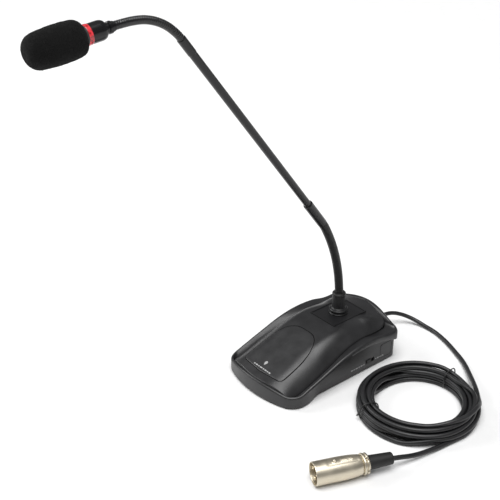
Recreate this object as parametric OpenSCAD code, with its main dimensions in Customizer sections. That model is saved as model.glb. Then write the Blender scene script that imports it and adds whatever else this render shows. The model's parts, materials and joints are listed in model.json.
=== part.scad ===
// Desktop gooseneck microphone: weighted base with a touch pad, a two-section gooseneck,
// a condenser head with a light ring and foam windscreen, and a coiled lead with a plug.
// Frame: origin on the desk under the middle of the base, -Y towards the talker, +Z up.

/* [Base] */
// Half-width of the base across its front corners
base_half_w = 45.3; // [42:0.1:48]
// Half-width of the recessed side walls under the rim
wall_half_w = 40.7; // [39:0.1:42]
// Distance from the origin to the front of the nose
front_reach = 69.7; // [66:0.1:73]
// Distance from the origin to the back of the rim
rear_reach = 72.0; // [68:0.1:73]
// Radius of the bowed front edge
bow_r = 101; // [90:1:130]
// Radius of the front corners
corner_r = 16; // [12:0.5:20]
// Height of the flat top that carries the gooseneck
top_z = 42.2; // [40:0.1:45]
// Rise of the sloping pad per millimetre of depth
pad_slope = 0.37; // [0.34:0.01:0.4]
// Wall thickness of the mouldings
wall = 2.4; // [2:0.1:3]

/* [Gooseneck] */
// Distance of the neck behind the origin
neck_y = 34; // [30:0.5:38]
// Height of the socket's mouth
socket_top = 61; // [58:0.5:64]
// Lean of the neck where it leaves the socket at rest, in degrees
low_lean = 3.2; // [2:0.1:5]
// Length of the straight stub at the start of the lower flexible section
low_stub = 2; // [1:0.5:4]
// Bend radius of the long lower part of the lower flexible section at rest
low_bend_r = 167; // [160:1:175]
// Bend radius of its short upper part at rest
low_tight_r = 48; // [45:1:55]
// Lean of the rigid shaft from the vertical at rest, in degrees
shaft_tilt = 37.4; // [36.5:0.1:38.5]
// Length of the rigid part from the lower ferrule to the upper sleeve
shaft_len = 231.8; // [220:0.1:240]
// Bend radius of the tight part of the upper flexible section
up_bend_r = 45.9; // [42:0.1:48]
// Length of the nearly straight part of the upper flexible section
up_run = 15.8; // [14:0.1:18]
// Lean of the head from the vertical at rest, in degrees
head_tilt = 96.8; // [95:0.1:99]
// Radius of the lower flexible section
low_r = 3.8; // [3.6:0.1:4]
// Radius of the rigid shaft
shaft_r = 3.15; // [3:0.05:3.3]
// Radius of the upper flexible section
up_r = 2.9; // [2.8:0.05:3]

/* [Head] */
// Radius of the head housing
head_r = 6.7; // [6.4:0.1:7]
// Radius of the foam windscreen
foam_r = 12.5; // [12:0.1:13.5]
// Length of the foam windscreen
foam_len = 40.5; // [38:0.5:46]

/* [Lead and plug] */
// Diameter of the microphone lead
lead_d = 4; // [3.8:0.1:4.2]
// Height of the lead's outlet above the desk
outlet_z = 14; // [13:0.5:15]
// Inner radius of the resting coil
coil_in_r = 36; // [34:0.5:37]
// Outer radius of the resting coil
coil_out_r = 52; // [50.5:0.5:53]
// Height of the resting coil
coil_h = 15.5; // [13:0.5:17]
// Outer radius of the plug's shell
plug_r = 9.5; // [9.4:0.05:9.5]
// Turn of the plug from straight ahead, in degrees
plug_turn = 23; // [20:1:26]

/* [Hidden] */
$fn = 48;
big = 200;
fit = 0.15;
run_fit = 0.05;

// ---- base surfaces -------------------------------------------------------------
// Height of the plateau: a straight slope, then a parabola that levels out at the top.
pad_ref = [-57, 18.7];
level_y = 22;
slope_end = level_y - 2 * (pad_ref[1] + pad_slope * (level_y - pad_ref[0]) - top_z) / pad_slope;
function plateau(y) = y < slope_end ? pad_ref[1] + pad_slope * (y - pad_ref[0])
    : y > level_y ? top_z
    : top_z - pad_slope * pow(level_y - y, 2) / (2 * (level_y - slope_end));
// Height of the rim that sweeps along each side.
rim_top = 33.3;
rim_y = 29;
rim_low = 12.3;
rim_bend = 0.00454;
function rim(y) = y > -8 ? rim_top - rim_bend * pow(rim_y - y, 2)
    : max(rim_low, rim_top - rim_bend * pow(rim_y + 8, 2) + 2 * rim_bend * (rim_y + 8) * (y + 8));
valley_drop = 3.2;
// Half-widths along the base: the rim's edge, the seam valley and the plateau's shoulder.
function taper(y, from, to, start) = from + (to - from) * max(0, y - start) / (68 - start);
function rim_w(y) = taper(y, base_half_w, 43.7, -30);
function seam_w(y) = taper(y, 38.7, 32.5, -30);
// The plateau narrows at the gooseneck's plate and widens again behind it.
function shoulder_w(y) = 28 - 0.055 * (y + 63) - 2.6 * exp(-pow((y - 36) / 9, 2)) + 0.25 * max(0, y - 40);
// Crown of the rear edge, and how far the surface has turned into it.
crown_z = 40.5;
crown_edge_z = 29.4;
crown_from = 44;
crown_power = 3;
function crown(x) = crown_edge_z
    + (crown_z - crown_edge_z) * sqrt(max(0, 1 - pow(min(1, abs(x) / base_half_w), crown_power)));
function crowned(y) = let (t = min(1, max(0, (y - crown_from) / 24))) t * t * (3 - 2 * t);
// Height of the whole top surface.
function valley_h(a, y) =
    let (s = seam_w(y), h = shoulder_w(y), low = rim(y) - valley_drop)
    a <= h ? plateau(y)
    : a <= s ? plateau(y) + (low - plateau(y)) * (a - h) / (s - h)
    : low + valley_drop * min(1, (a - s) / (rim_w(y) - 1 - s));
function top_h(x, y) = valley_h(abs(x), y) * (1 - crowned(y)) + crown(x) * crowned(y);

surface_y = [-75, -66, -57, -48, -39, -30, -20, -8, 0, 8, 15, 22, 28, 36, 44, 50, 56, 62, 68, 75];
function across(y) = let (h = shoulder_w(y), s = seam_w(y), w = rim_w(y))
    [-50, 1 - w, -(s + w) / 2, -s, -(s + h) / 2, -h, -h / 2, 0,
     h / 2, h, (s + h) / 2, s, (s + w) / 2, w - 1, 50];

// Solid under the top surface, lowered by drop.
module below_top(drop) {
    n = len(across(0));
    rows = len(surface_y);
    k = n * rows;
    floor_z = -5;
    polyhedron(
        points = [for (z = [0, 1], y = surface_y, x = across(y)) [x, y, z ? floor_z : top_h(x, y) - drop]],
        faces = concat(
            [for (j = [0:rows - 2], i = [0:n - 2]) let (a = j * n + i) each
                [[a, a + n, a + n + 1], [a, a + n + 1, a + 1],
                 [k + a, k + a + 1, k + a + n + 1], [k + a, k + a + n + 1, k + a + n]]],
            [for (i = [0:n - 2]) let (a = i, b = (rows - 1) * n + i) each
                [[a, a + 1, k + a + 1, k + a], [b + 1, b, k + b, k + b + 1]]],
            [for (j = [0:rows - 2]) let (a = j * n, b = a + n - 1) each
                [[a + n, a, k + a, k + a + n], [b, b + n, k + b + n, k + b]]]));
}

// ---- base outlines -------------------------------------------------------------
function arc(cx, cy, r, from, to, steps) =
    [for (i = [0:steps]) let (t = from + (to - from) * i / steps) [cx + r * cos(t), cy + r * sin(t)]];
function mirrored(half) = concat(half, [for (i = [len(half) - 1:-1:0]) [-half[i][0], half[i][1]]]);
// Right half of a plan outline: bowed front, rounded front corner, side, rounded back corner.
// side is a list of [x, y] points; in is how far the outline lies inside the nose.
function outline(side, in, back, back_r) =
    let (cr = corner_r - in, cx = side[0][0] - cr, by = in - front_reach + bow_r,
         tilt = asin(cx / (bow_r - corner_r)), cy = by - (bow_r - corner_r) * cos(tilt),
         last = side[len(side) - 1])
    mirrored(concat(
        arc(0, by, bow_r - in, -90, -90 + tilt, 8),
        arc(cx, cy, cr, -90 + tilt + 6, 0, 8),
        side,
        arc(last[0] - back_r, back - back_r, back_r, 0, 90, 6)));
rim_side = [for (y = [-44, -30, 58]) [rim_w(y), y]];
function wall_x(y) = wall_half_w + (base_half_w - wall_half_w)
    * (y < -46 ? 1 : y > -25 ? 0 : (1 + cos(180 * (y + 46) / 21)) / 2);
function wall_side(in) = [for (y = [in - 48, -41, -37, -33, -29, -25, 52]) [wall_x(y) - in, y]];
seam_in = 2.2;
seam_gap = 0.1;
seam_side = [for (y = [-50, -30, 58]) [seam_w(y), y]];
back_wall_y = 70;
module seam_outline(gap) {
    side = [for (p = seam_side) [p[0] - gap, p[1]]];
    pts = concat(arc(0, bow_r + seam_in + gap - front_reach, bow_r - seam_in - gap, -90, -69.5, 8),
        arc(side[0][0] - 5, -54.5, 5, -50, 0, 4), side,
        arc(side[2][0] - 8, rear_reach - 2.5 - gap - 8, 8, 0, 90, 4));
    polygon(mirrored(pts));
}
module rim_outline() polygon(outline(rim_side, 0, rear_reach, 6));
module wall_outline(in) polygon(outline(wall_side(in), in, back_wall_y - in, 4));

// Region under the rim's lip, where the side walls step in.
function lip_low(y) = rim(y) - 2.2 - 0.06 * max(0, y + 30);
module under_lip() {
    rotate([90, 0, 90]) translate([0, 0, -big / 2]) linear_extrude(big)
        polygon(concat([for (y = [-60, -46, -36, -26, -16, -6, 6, 18, 30, 42, 54, 66, 75]) [y, lip_low(y)]],
            [[75, -10], [-60, -10]]));
}
module lip_recess() {
    difference() {
        under_lip();
        translate([0, 0, -10]) linear_extrude(big) wall_outline(0);
    }
}

case_z = 0.8;
cover_z = 3;
boss_spots = [[28, -47], [-28, -47], [27, 52], [-27, 52]];
board_spots = [[23, -24], [-23, -24], [23, 22], [-23, 22]];
module at_each(spots) for (s = spots) translate([s[0], s[1], 0]) children();
switch_y = 36.7;
switch_z = 8.8;
slot_len = 10.4;
slot_h = 4.2;
knob_len = 5.4;
board_z = 14;
clamp_w = 14;
clamp_y = 50;
clamp_split = outlet_z - 2.4;

module lower_case() color([0.11, 0.11, 0.115]) difference() {
    intersection() {
        below_top(0);
        translate([0, 0, case_z]) linear_extrude(60) rim_outline();
    }
    lip_recess();
    intersection() {
        below_top(wall);
        translate([0, 0, -1]) linear_extrude(60) wall_outline(wall);
    }
    translate([0, 0, cover_z - 1]) linear_extrude(60) seam_outline(-seam_gap);
    translate([wall_half_w - 2 * wall, switch_y - slot_len / 2, switch_z - slot_h / 2])
        cube([3 * wall, slot_len, slot_h]);
    translate([0, back_wall_y, outlet_z]) rotate([-90, 0, 0]) {
        translate([0, 0, -2 * wall]) cylinder(r = 4.1, h = 4 * wall);
        translate([0, 0, -0.2]) cylinder(r = 5.3, h = 4);
    }
}

// Plan shape of the touch pad: straight sides that close to an arch at the back.
pad_front = -58;
pad_back = -6;
pad_half_w = 24.5;
module pad_outline(gap) {
    half = concat([[0, pad_front - 2 - gap], [pad_half_w - 5, pad_front - gap]],
        arc(pad_half_w - 4, pad_front + 4, 4 + gap, -75, 0, 3),
        [[pad_half_w + gap, -34], [22.5 + gap, -23], [19 + gap, -12.5], [13 + gap, pad_back - 1.5 + gap],
         [0, pad_back + gap]]);
    polygon(mirrored(half));
}
pad_t = 1.2;
led_y = -50;
plate_w = 31;
plate_d = 41;
plate_low = 40.6;
boss_r = 3.6;
// Mouldings inside the cover reach down to the bottom cover.
module top_cover() color([0.09, 0.09, 0.095]) difference() {
    union() {
        difference() {
            intersection() {
                below_top(0);
                linear_extrude(60) seam_outline(seam_gap);
            }
            below_top(wall);
        }
        intersection() {
            below_top(wall / 2);
            at_each(boss_spots) translate([0, 0, cover_z]) cylinder(r = boss_r, h = 40);
        }
    }
    at_each(boss_spots) cylinder(r = 1.2, h = 14);
    difference() {
        linear_extrude(60) pad_outline(fit);
        below_top(pad_t);
    }
    translate([0, neck_y, plate_low + 15]) cube([plate_w + 2 * fit, plate_d + 2 * fit, 30], center = true);
    translate([0, neck_y, 30]) cylinder(r = 5.2, h = 20);
    translate([0, led_y, 0]) cylinder(r = 1.6, h = 60);
}

module clamp_bore() translate([0, clamp_y, outlet_z]) rotate([90, 0, 0])
    cylinder(r = lead_d / 2 + run_fit, h = 20, center = true);
module bottom_cover() color([0.07, 0.07, 0.07]) difference() {
    union() {
        translate([0, 0, case_z]) linear_extrude(cover_z - case_z - 0.2) wall_outline(wall + fit);
        at_each(board_spots) translate([0, 0, case_z]) cylinder(r = 2.6, h = board_z - case_z);
        translate([-clamp_w / 2, clamp_y - 5, case_z]) cube([clamp_w, 10, clamp_split - 0.1 - case_z]);
    }
    at_each(boss_spots) translate([0, 0, -1]) cylinder(r = 1.7, h = 10);
    at_each(boss_spots) translate([0, 0, -1]) cylinder(r = 3, h = 2.6);
    at_each(board_spots) translate([0, 0, 6]) cylinder(r = 0.9, h = 20);
    clamp_bore();
}

module antislip_pad() color([0.05, 0.05, 0.05]) difference() {
    linear_extrude(case_z) wall_outline(wall + 3);
    at_each(boss_spots) translate([0, 0, -1]) cylinder(r = 3.4, h = 4);
}

module touch_pad() color([0.1, 0.1, 0.105]) difference() {
    intersection() {
        below_top(0.05);
        linear_extrude(60) pad_outline(0);
    }
    below_top(pad_t);
    translate([0, led_y, 0]) cylinder(r = 1.6, h = 60);
}

// Places its children on the sloping pad at depth y, measured square to the surface.
pad_angle = atan(pad_slope);
module on_pad(y, below) translate([0, y, plateau(y)]) rotate([pad_angle, 0, 0])
    translate([0, 0, -below]) children();

module pad_light_pipe() color([0.9, 0.9, 0.9]) intersection() {
    below_top(0);
    difference() {
        translate([0, led_y, 0]) cylinder(r = 1.5, h = 60);
        below_top(2.2);
    }
}
board_drop = 4.6;
module touch_sensor_board() color([0.05, 0.25, 0.12])
    on_pad(-34, board_drop) cube([44, 30, 1.2], center = true);
module pad_led() color([0.95, 0.95, 0.8]) on_pad(-48.5, board_drop - 0.6 - 0.7)
    translate([0, 1.6, 0]) cube([3, 2, 1.4], center = true);

ballast_t = 6.8;
module ballast_plate() color([0.45, 0.45, 0.47])
    translate([-19, -42, cover_z]) cube([38, 84, ballast_t]);
board_t = 1.6;
module main_board() color([0.04, 0.3, 0.14]) difference() {
    translate([-26, -27, board_z]) cube([52, 52, board_t]);
    at_each(board_spots) cylinder(r = 1.3, h = 40);
}
board_top = board_z + board_t;
module output_transformer() color([0.2, 0.2, 0.22]) translate([-16, 4, board_top]) cube([14, 14, 12]);
module capacitors() color([0.12, 0.14, 0.3])
    for (s = [[4, 16], [12, 16], [14, 6]]) translate([s[0], s[1], board_top]) cylinder(r = 3.2, h = 9);
module amplifier_chip() color([0.08, 0.08, 0.08]) translate([-4, -12, board_top]) cube([10, 6, 2]);
module wire_headers() color([0.85, 0.83, 0.75]) {
    translate([18, -16, board_top]) cube([5, 12, 6]);
    translate([-23, -16, board_top]) cube([5, 12, 6]);
}
// Pan-head screw: head down at z = 0, thread upwards.
module screw(head_r, head_h, shank_r, length) {
    difference() {
        cylinder(r = head_r, h = head_h);
        for (a = [0, 90]) rotate(a) translate([-head_r * 0.65, -0.3, -1]) cube([head_r * 1.3, 0.6, 1.6]);
    }
    translate([0, 0, head_h]) cylinder(r = shank_r, h = length);
}
module board_screws() color([0.7, 0.7, 0.72])
    at_each(board_spots) translate([0, 0, board_top + 1.6]) rotate([180, 0, 0]) screw(2.1, 1.6, 0.9, 7);
module cover_screws() color([0.6, 0.6, 0.62])
    at_each(boss_spots) translate([0, 0, case_z - 0.4]) screw(2.7, 1.2, 1.2, 11);

module switch_body() color([0.15, 0.15, 0.15])
    translate([wall_half_w - wall - 6.2, switch_y - 9, switch_z - 3.2]) cube([6, 18, 6.4]);
module switch_knob() color([0.05, 0.05, 0.05]) {
    low = switch_y - slot_len / 2 + 0.4;
    translate([wall_half_w - wall - 0.1, low, switch_z - slot_h / 2 + 0.3])
        cube([wall + 0.9, knob_len, slot_h - 0.6]);
}

// ---- lead inside the base ---------------------------------------------------------
grommet_len = 18;
module cable_grommet() color([0.04, 0.04, 0.04])
    translate([0, back_wall_y, outlet_z]) rotate([-90, 0, 0]) rotate_extrude() polygon([
        [lead_d / 2 + 0.02, -wall - 2.5], [6, -wall - 2.5], [6, -wall - 0.1], [4, -wall - 0.1], [4, 0.1],
        [5, 0.1], [5, 2.2], [4.3, 2.6], [3, grommet_len], [lead_d / 2 + 0.02, grommet_len]]);
module cable_clamp() color([0.1, 0.1, 0.1]) difference() {
    translate([-clamp_w / 2, clamp_y - 4, clamp_split + 0.1]) cube([clamp_w, 8, 7]);
    clamp_bore();
}
module inner_lead() color([0.05, 0.05, 0.05])
    translate([0, 27, outlet_z + 0.01]) rotate([-90, 0, 0]) cylinder(d = lead_d, h = back_wall_y - 27);
module neck_wires() color([0.6, 0.1, 0.1])
    translate([0, neck_y, 17]) cylinder(r = 1.4, h = 20);

// ---- gooseneck path ------------------------------------------------------------------
// Unit direction [y, z] of the neck where it leans by t degrees.
function lean(t) = [-sin(t), cos(t)];
// Position after a bend of radius r that starts at p leaning t0 and ends leaning t1.
function bend(p, r, t0, t1) = p + r * [cos(t1) - cos(t0), sin(t1) - sin(t0)];
low_start = [neck_y, socket_top];
low_arc_start = low_start + low_stub * lean(low_lean);
low_mid_tilt = 29.3;
low_mid = bend(low_arc_start, low_bend_r, low_lean, low_mid_tilt);
low_end = bend(low_mid, low_tight_r, low_mid_tilt, shaft_tilt);
low_mid_s = low_stub + low_bend_r * (low_mid_tilt - low_lean) * PI / 180;
low_len = low_mid_s + low_tight_r * (shaft_tilt - low_mid_tilt) * PI / 180;
function low_point(s) = s < low_stub ? low_start + s * lean(low_lean)
    : s < low_mid_s ? bend(low_arc_start, low_bend_r, low_lean, low_lean + (s - low_stub) / low_bend_r * 180 / PI)
    : bend(low_mid, low_tight_r, low_mid_tilt, low_mid_tilt + (s - low_mid_s) / low_tight_r * 180 / PI);
up_start = low_end + shaft_len * lean(shaft_tilt);
up_mid = bend(up_start, up_bend_r, shaft_tilt, 90);
up_arc = up_bend_r * (90 - shaft_tilt) * PI / 180;
up_run_r = up_run / (head_tilt - 90) * 180 / PI;
up_end = bend(up_mid, up_run_r, 90, head_tilt);
up_len = up_arc + up_run;
function up_tilt(s) = s < up_arc ? shaft_tilt + s / up_bend_r * 180 / PI
    : 90 + (s - up_arc) / up_run_r * 180 / PI;
function up_point(s) = s < up_arc ? bend(up_start, up_bend_r, shaft_tilt, up_tilt(s))
    : bend(up_mid, up_run_r, 90, up_tilt(s));
hinges = 6;
low_hinge = [for (i = [0:hinges - 1]) low_point(low_len * (i + 0.5) / hinges)];
up_hinge = [for (i = [0:hinges - 1]) up_point(up_len * (i + 0.5) / hinges)];
function chord_tilt(a, b) = atan2(a[0] - b[0], b[1] - a[1]);
module along(p, t) translate([0, p[0], p[1]]) rotate([t, 0, 0]) children();

// One segment of a flexible section: a ball at its start sits in the socket of the last one.
wire_hole = 0.9;
module segment(length, r, ball, gap) difference() {
    union() {
        translate([0, 0, gap / 2]) cylinder(r = r, h = length - gap);
        sphere(r = ball);
    }
    translate([0, 0, length]) sphere(r = ball + run_fit);
    translate([0, 0, -ball - 1]) cylinder(r = wire_hole, h = length + ball + 2);
}
low_gap = 1.6;
low_ball = 2.6;
up_gap = 1.4;
up_ball = 1.9;
module lower_link(i) color([0.1, 0.1, 0.1])
    along(low_hinge[i], chord_tilt(low_hinge[i], low_hinge[i + 1]))
        segment(norm(low_hinge[i + 1] - low_hinge[i]), low_r, low_ball, low_gap);
module upper_link(i) color([0.1, 0.1, 0.1])
    along(up_hinge[i], chord_tilt(up_hinge[i], up_hinge[i + 1]))
        segment(norm(up_hinge[i + 1] - up_hinge[i]), up_r, up_ball, up_gap);
module lower_link_1() lower_link(0);
module lower_link_2() lower_link(1);
module lower_link_3() lower_link(2);
module lower_link_4() lower_link(3);
module lower_link_5() lower_link(4);
module upper_link_1() upper_link(0);
module upper_link_2() upper_link(1);
module upper_link_3() upper_link(2);
module upper_link_4() upper_link(3);
module upper_link_5() upper_link(4);

// ---- neck fittings -----------------------------------------------------------------
plate_top = 42.8;
module neck_plate() color([0.07, 0.07, 0.075]) difference() {
    translate([-plate_w / 2, neck_y - plate_d / 2, plate_low]) cube([plate_w, plate_d, plate_top - plate_low]);
    translate([1 - plate_w / 2, neck_y - plate_d / 2 + 1, plate_top - 0.5]) cube([plate_w - 2, plate_d - 2, 5]);
    translate([0, neck_y, 30]) cylinder(r = 5.2, h = 20);
}
floor_top = plate_top - 0.5;
socket_r = 6.1;
bore_r = 4;
module neck_socket() color([0.08, 0.08, 0.085]) translate([0, neck_y, 0]) rotate_extrude() polygon([
    [1.6, 28], [5, 28], [5, floor_top], [8.75, floor_top], [8.75, 43.4], [8.2, 44], [7.6, 44.3], [7.6, 45.2],
    [8.75, 45.7], [8.75, 46.9], [8.1, 47.5], [7, 47.7], [socket_r, 48.6], [socket_r, 60.6], [5.8, socket_top],
    [bore_r, socket_top], [bore_r, 56], [1.6, 56]]);
module socket_ring() color([0.03, 0.03, 0.03]) translate([0, neck_y, socket_top]) rotate_extrude()
    polygon([[bore_r, 0], [6, 0], [6.3, 0.8], [6.2, 1.8], [5.4, 2.7], [bore_r, 2.9]]);
cover_under = top_z - wall;
module lock_washer() color([0.7, 0.7, 0.72]) translate([0, neck_y, cover_under - 1]) difference() {
    cylinder(r = 9, h = 1);
    translate([0, 0, -1]) cylinder(r = 5.1, h = 3);
}
module lock_nut() color([0.7, 0.7, 0.72]) translate([0, neck_y, cover_under - 6]) difference() {
    cylinder(r = 8.5, h = 5, $fn = 6);
    translate([0, 0, -1]) cylinder(r = 5.02, h = 8);
}
module neck_root() color([0.1, 0.1, 0.1]) difference() {
    len_root = norm(low_hinge[0] - low_start);
    translate([0, neck_y, 56]) cylinder(r = low_r, h = socket_top - 56 + len_root - low_gap / 2);
    translate([0, low_hinge[0][0], low_hinge[0][1]]) sphere(r = low_ball + run_fit);
    translate([0, neck_y, 50]) cylinder(r = wire_hole, h = 40);
}
ferrule_r = 4.15;
ferrule_len = 29.6;
low_tail = norm(low_end - low_hinge[hinges - 1]);
module lower_ferrule() color([0.08, 0.08, 0.085]) {
    t = chord_tilt(low_hinge[hinges - 1], low_end);
    difference() {
        union() {
            along(low_hinge[hinges - 1], t) {
                translate([0, 0, low_gap / 2]) cylinder(r = low_r, h = low_tail - low_gap / 2 + 0.3);
                sphere(r = low_ball);
            }
            along(low_end, shaft_tilt) rotate_extrude() polygon([[0, 0], [3.9, 0], [ferrule_r, 0.5],
                [ferrule_r, ferrule_len - 0.5], [ferrule_r - 0.4, ferrule_len], [0, ferrule_len]]);
        }
        along(low_hinge[hinges - 1], t) translate([0, 0, -4]) cylinder(r = wire_hole, h = 4 + low_tail + 3);
        along(low_end, shaft_tilt) translate([0, 0, 2]) cylinder(r = shaft_r, h = ferrule_len);
    }
}
sleeve_len = 15;
tube_bore = 2.2;
module shaft_tube() color([0.08, 0.08, 0.085]) along(low_end, shaft_tilt) difference() {
    translate([0, 0, 2]) cylinder(r = shaft_r, h = shaft_len - 2 - sleeve_len + 4);
    translate([0, 0, -1]) cylinder(r = tube_bore, h = shaft_len);
}
sleeve_r = 3.4;
up_lead = norm(up_hinge[0] - up_start);
module upper_sleeve() color([0.09, 0.09, 0.095]) {
    t = chord_tilt(up_start, up_hinge[0]);
    difference() {
        union() {
            along(up_start, shaft_tilt) translate([0, 0, -sleeve_len]) rotate_extrude() polygon([
                [0, 0], [sleeve_r - 0.25, 0], [sleeve_r, 0.4], [sleeve_r, sleeve_len - 0.4],
                [sleeve_r - 0.3, sleeve_len], [0, sleeve_len]]);
            along(up_start, t) translate([0, 0, -1]) cylinder(r = up_r, h = 1 + up_lead - up_gap / 2);
        }
        along(up_start, shaft_tilt) translate([0, 0, -sleeve_len - 1]) cylinder(r = shaft_r, h = 5.3);
        along(up_start, shaft_tilt) translate([0, 0, -sleeve_len - 1]) cylinder(r = tube_bore, h = sleeve_len - 2);
        translate([0, up_hinge[0][0], up_hinge[0][1]]) sphere(r = up_ball + run_fit);
        along(up_start, t) translate([0, 0, -4]) cylinder(r = wire_hole, h = up_lead + 4);
    }
}

// ---- head ------------------------------------------------------------------------------
collar_len = 6.5;
head_base = up_end + collar_len * lean(head_tilt);
up_tail = norm(up_end - up_hinge[hinges - 1]);
module upper_ferrule() color([0.09, 0.09, 0.095]) {
    t = chord_tilt(up_hinge[hinges - 1], up_end);
    difference() {
        union() {
            along(up_hinge[hinges - 1], t) {
                translate([0, 0, up_gap / 2]) cylinder(r = up_r, h = up_tail - up_gap / 2 + 0.3);
                sphere(r = up_ball);
            }
            along(up_end, head_tilt) rotate_extrude() polygon([[0, 0], [3.5, 0], [3.5, 1.6], [4.2, 2],
                [4.2, 4.2], [3.6, 4.6], [3.6, collar_len], [0, collar_len]]);
        }
        along(up_hinge[hinges - 1], t) translate([0, 0, -4]) cylinder(r = wire_hole, h = 4 + up_tail + 1);
        along(up_end, head_tilt) translate([0, 0, -1]) cylinder(r = wire_hole, h = 20);
    }
}
ring_at = 12;
ring_w = 3;
collar_at = ring_at + ring_w;
foam_at = collar_at + 1.5;
tube_r = 6;
tube_len = 24;
module on_head(z) along(head_base, head_tilt) translate([0, 0, z]) children();
module head_housing() color([0.08, 0.08, 0.085]) on_head(0) rotate_extrude() polygon(concat(
    [[wire_hole, 0], [3.9, 0]], [for (i = [0:5]) [4.7 + (head_r - 4.7) * sin(i * 18), 0.3 + 4 * (1 - cos(i * 18))]],
    [[head_r, ring_at], [5.4, ring_at], [5.4, 3], [wire_hole, 2]]));
module light_ring() color([0.8, 0.1, 0.12, 0.9]) on_head(ring_at) rotate_extrude() polygon([
    [tube_r + 0.05, 0], [head_r + 0.1, 0], [head_r + 0.25, 0.4], [head_r + 0.25, ring_w - 0.4],
    [head_r + 0.1, ring_w], [tube_r + 0.05, ring_w]]);
module light_ring_board() color([0.04, 0.3, 0.14]) on_head(ring_at - 2) difference() {
    cylinder(r = 5.3, h = 1);
    translate([0, 0, -1]) cylinder(r = 1, h = 3);
}
module head_collar() color([0.12, 0.13, 0.13]) on_head(collar_at) difference() {
    cylinder(r = head_r, h = foam_at - collar_at - 0.2);
    translate([0, 0, -1]) cylinder(r = tube_r + 0.02, h = 5);
}
module capsule_tube() color([0.1, 0.1, 0.1]) on_head(ring_at + 0.2) difference() {
    cylinder(r = tube_r, h = tube_len);
    translate([0, 0, -1]) cylinder(r = 5.2, h = tube_len - 0.2);
    translate([0, 0, tube_len - 2]) {
        cylinder(r = 0.5, h = 5);
        for (ring = [[1.7, 6], [3.4, 12]], a = [0:ring[1] - 1])
            rotate(a * 360 / ring[1]) translate([ring[0], 0, 0]) cylinder(r = 0.5, h = 5);
    }
}
module capsule() color([0.75, 0.72, 0.6]) on_head(ring_at + tube_len - 8) cylinder(r = 5.1, h = 6);
foam_nose_r = foam_r - 0.8;
module windscreen() color([0.06, 0.06, 0.065]) on_head(foam_at) rotate_extrude() polygon(concat(
    [[0, foam_len]],
    [for (i = [0:6]) [foam_nose_r * (0.35 + 0.65 * sin(i * 15)), foam_len - 10 * (1 - cos(i * 15))]],
    [for (i = [0:6]) [foam_r - 4 + 4 * cos(i * 15), 6 - 6 * sin(i * 15)]],
    [[tube_r + 0.3, 0], [tube_r + 0.3, tube_len - 3.5], [0, tube_len - 3.5]]));

// ---- lead -----------------------------------------------------------------------------
coil_c = [108.2, 25.6];
lead_out = back_wall_y + grommet_len;
// Route of the lead from the grommet to the coil.
lead_route = [[0, lead_out, outlet_z], [0, 95, 14], [0.5, 101, 13.7], [2, 108, 12.6], [5.5, 115, 10.4],
    [11.5, 121.5, 7.2], [19, 125.5, 4.4], [28, 127.2, 2.5], [40, 127, 2.1], [53, 124, 2.1],
    [65, 119.8, 2.1], [76, 115, 2.2], [87, 109.8, 2.6], [97.5, 103, 3.6], [107, 95.5, 5],
    [116.5, 87.6, 6.8], [125.6, 79.8, 8.4], [133, 73, 9.5], [139, 67, 9.9]];
// Route of the lead from the coil to the plug.
tail_route = [[156.8, 16.5, 2.1], [155.6, 7, 2.2], [154.5, -2, 2.5], [153.2, -11, 3.2],
    [151.6, -22, 4.4], [149.8, -31, 6], [147.6, -40, 8.2]];
function unit(v) = v / norm(v);
function curve_point(a, b, c, d, t) = 0.5 * (2 * b + (c - a) * t + (2 * a - 5 * b + 4 * c - d) * t * t
    + (3 * b - a - 3 * c + d) * t * t * t);
function smooth(p, steps) = let (n = len(p)) concat(
    [for (i = [0:n - 2], k = [0:steps - 1])
        curve_point(p[max(0, i - 1)], p[i], p[i + 1], p[min(n - 1, i + 2)], k / steps)], [p[n - 1]]);
module tube(route, r, sides) {
    n = len(route);
    rings = [for (i = [0:n - 1])
        let (d = unit(route[min(n - 1, i + 1)] - route[max(0, i - 1)]), side = unit(cross(d, [0, 0, 1])),
             up = cross(side, d))
        for (k = [0:sides - 1]) let (a = 360 * (k + 0.5) / sides) route[i] + r * (cos(a) * side + sin(a) * up)];
    polyhedron(points = rings, faces = concat(
        [[for (k = [0:sides - 1]) k]], [[for (k = [sides - 1:-1:0]) (n - 1) * sides + k]],
        [for (i = [0:n - 2], k = [0:sides - 1]) let (a = i * sides + k, b = i * sides + (k + 1) % sides) each
            [[a, a + sides, b], [b, a + sides, b + sides]]]));
}
sides = 8;
// Corner radius of the tube: its flats lie just inside the round lead.
cord_tube_r = 0.96 * lead_d / 2 / cos(180 / sides);
module cable_lead() color([0.05, 0.05, 0.05]) tube(smooth(lead_route, 2), cord_tube_r, sides);
module cable_tail() color([0.05, 0.05, 0.05]) tube(smooth(tail_route, 2), cord_tube_r, sides);
module cable_coil() color([0.05, 0.05, 0.05]) translate([coil_c[0], coil_c[1], 0]) rotate_extrude($fn = 96)
    polygon([[coil_in_r, 2], [coil_in_r + 3, 0], [coil_out_r - 3, 0], [coil_out_r, 3], [coil_out_r, coil_h - 4],
        [coil_out_r - 4, coil_h], [coil_in_r + 4, coil_h], [coil_in_r, coil_h - 4]]);
// Two ties hold the coil's turns together.
tie_turns = [96, 248];
module cable_ties() color([0.02, 0.02, 0.02])
    for (a = tie_turns) translate([coil_c[0], coil_c[1], 0]) rotate(a)
        translate([(coil_in_r + coil_out_r) / 2, 0, coil_h / 2 + 0.5]) rotate([90, 0, 0])
            translate([0, 0, -1]) linear_extrude(2) difference() {
                square([coil_out_r - coil_in_r + 2, coil_h + 1], center = true);
                square([coil_out_r - coil_in_r, coil_h - 1], center = true);
            }

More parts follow.
